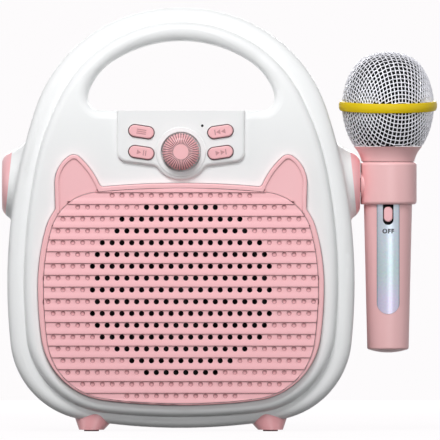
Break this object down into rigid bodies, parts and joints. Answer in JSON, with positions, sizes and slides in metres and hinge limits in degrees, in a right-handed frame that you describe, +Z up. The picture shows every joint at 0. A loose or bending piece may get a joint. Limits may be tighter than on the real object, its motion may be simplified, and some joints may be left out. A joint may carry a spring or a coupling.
{
  "type": "karaoke speaker with microphone",
  "caption": "Portable karaoke speaker with a carrying handle, an eared perforated grille, a control console with a knob and push buttons, and a microphone in a swivelling side holder.",
  "frame": {"origin": "on the floor under the middle of the whole object's box, microphone included", "axes": "+X to the viewer's right along the front, towards the microphone; +Y from the front to the back; +Z up"},
  "size_m": [0.241, 0.0966, 0.234],
  "materials": {
    "shell_white": "gloss moulded plastic",
    "grille_pink": "satin moulded plastic",
    "pink_gloss": "soft gloss moulded plastic",
    "pink_satin": "satin moulded plastic",
    "strip_silver": "metallised film",
    "ring_yellow": "gloss plastic",
    "mesh_steel": "woven wire",
    "foam": "open-cell foam",
    "cone_black": "coated paper",
    "black_rubber": "soft rubber",
    "black_steel": "black paint",
    "magnet": "sintered ferrite",
    "steel": "plated",
    "black_plastic": "moulded",
    "board_green": "solder resist",
    "cell": "plastic sleeve",
    "dark_window": "tinted clear plastic",
    "pad_rubber": "soft rubber"
  },
  "bodies": {
    "cabinet": {"front_shell": "shell_white", "rear_shell": "shell_white", "grille_surround": "grille_pink", "speaker_grille": "grille_pink", "speaker_basket": "black_steel", "speaker_cone": "cone_black", "speaker_surround": "black_rubber", "speaker_dust_cap": "cone_black", "speaker_gasket": "black_rubber", "speaker_magnet": "magnet", "speaker_back_plate": "steel", "speaker_screws": "steel", "key_switches": "black_plastic", "volume_control": "steel", "button_board": "board_green", "button_board_screws": "steel", "indicator_light": "dark_window", "main_board": "board_green", "main_board_screws": "steel", "charge_socket": "steel", "usb_socket": "steel", "audio_socket": "black_plastic", "card_socket": "steel", "power_switch_body": "black_plastic", "battery_cell": "cell", "battery_holder": "black_plastic", "shell_screws": "steel", "foot_front_left": "pink_gloss", "foot_front_right": "pink_gloss", "foot_rear_left": "pink_gloss", "foot_rear_right": "pink_gloss", "foot_pads": "pad_rubber", "side_cap_left": "pink_gloss", "side_cap_right": "pink_gloss"},
    "volume_knob": {"volume_knob": "pink_gloss"},
    "button_mode": {"button_mode": "pink_gloss"},
    "button_play": {"button_play": "pink_gloss"},
    "button_previous": {"button_previous": "pink_gloss"},
    "button_next": {"button_next": "pink_gloss"},
    "power_switch": {"power_switch_slider": "black_plastic"},
    "holder": {"mic_holder": "pink_gloss", "pivot_washer": "steel", "pivot_screw": "steel"},
    "microphone": {"mic_grip": "pink_satin", "mic_end_cap": "pink_satin", "mic_strip": "strip_silver", "mic_switch_body": "black_plastic", "mic_board": "board_green", "mic_neck": "pink_gloss", "mic_capsule": "steel", "mic_head_lower": "mesh_steel", "mic_head_upper": "mesh_steel", "mic_ring": "ring_yellow", "mic_foam": "foam", "mic_cell": "cell"},
    "mic_switch": {"mic_switch_slider": "pink_gloss"}
  },
  "joints": [
    {"name": "knob_turn", "type": "hinge", "parent": "cabinet", "child": "volume_knob", "pos_m": [-0.02145, -0.04325, 0.1542], "axis": [0, 1, 0], "range_deg": [-150, 150]},
    {"name": "button_mode_press", "type": "slide", "parent": "cabinet", "child": "button_mode", "axis": [0, 1, 0], "range_m": [0, 0.0008], "stiffness_N_per_m": 1900},
    {"name": "button_play_press", "type": "slide", "parent": "cabinet", "child": "button_play", "axis": [0, 1, 0], "range_m": [0, 0.0008], "stiffness_N_per_m": 1900},
    {"name": "button_previous_press", "type": "slide", "parent": "cabinet", "child": "button_previous", "axis": [0, 1, 0], "range_m": [0, 0.0008], "stiffness_N_per_m": 1900},
    {"name": "button_next_press", "type": "slide", "parent": "cabinet", "child": "button_next", "axis": [0, 1, 0], "range_m": [0, 0.0008], "stiffness_N_per_m": 1900},
    {"name": "power_switch_slide", "type": "slide", "parent": "cabinet", "child": "power_switch", "axis": [1, 0, 0], "range_m": [0, 0.003]},
    {"name": "holder_swivel", "type": "hinge", "parent": "cabinet", "child": "holder", "pos_m": [0.07765, 0.00225, 0.136], "axis": [1, 0, 0], "range_deg": [-45, 45]},
    {"name": "microphone_lift", "type": "slide", "parent": "holder", "child": "microphone", "axis": [0, 0, 1], "range_m": [0, 0.11]},
    {"name": "mic_switch_slide", "type": "slide", "parent": "microphone", "child": "mic_switch", "axis": [0, 0, 1], "range_m": [0, 0.005]}
  ]
}
